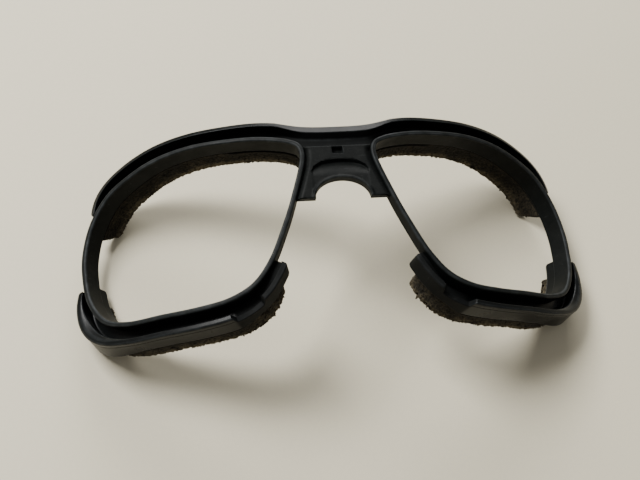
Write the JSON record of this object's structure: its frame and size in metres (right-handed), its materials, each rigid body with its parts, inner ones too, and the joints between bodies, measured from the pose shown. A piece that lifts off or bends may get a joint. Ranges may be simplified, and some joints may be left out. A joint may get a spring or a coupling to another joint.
{
  "type": "goggle face-seal insert",
  "caption": "Wrapped twin-rim insert for sports protective goggles, with brow flange, bridge, cheek lips and foam face seal.",
  "frame": {"origin": "on the ground under the middle of the part, which lies on its foam", "axes": "+X across the face, +Y from the cheeks towards the brow, +Z out of the front, away from the face"},
  "size_m": [0.1382, 0.056, 0.0348],
  "materials": {
    "frame_plastic": "fine satin moulding",
    "flange_plastic": "polished moulding with rounded glossy edges",
    "seal_foam": "worn open-cell foam",
    "adhesive_film": "thin double-sided film"
  },
  "bodies": {
    "root": {"rim_right": "frame_plastic", "rim_left": "frame_plastic", "bridge_plate": "frame_plastic", "corner_skirt_right": "frame_plastic", "corner_skirt_left": "frame_plastic", "brow_flange": "flange_plastic", "cheek_lip_right": "flange_plastic", "cheek_lip_left": "flange_plastic", "foam_brow_right": "seal_foam", "foam_brow_left": "seal_foam", "foam_cheek_right": "seal_foam", "foam_cheek_left": "seal_foam", "film_brow_right": "adhesive_film", "film_brow_left": "adhesive_film", "film_cheek_right": "adhesive_film", "film_cheek_left": "adhesive_film"}
  },
  "joints": []
}
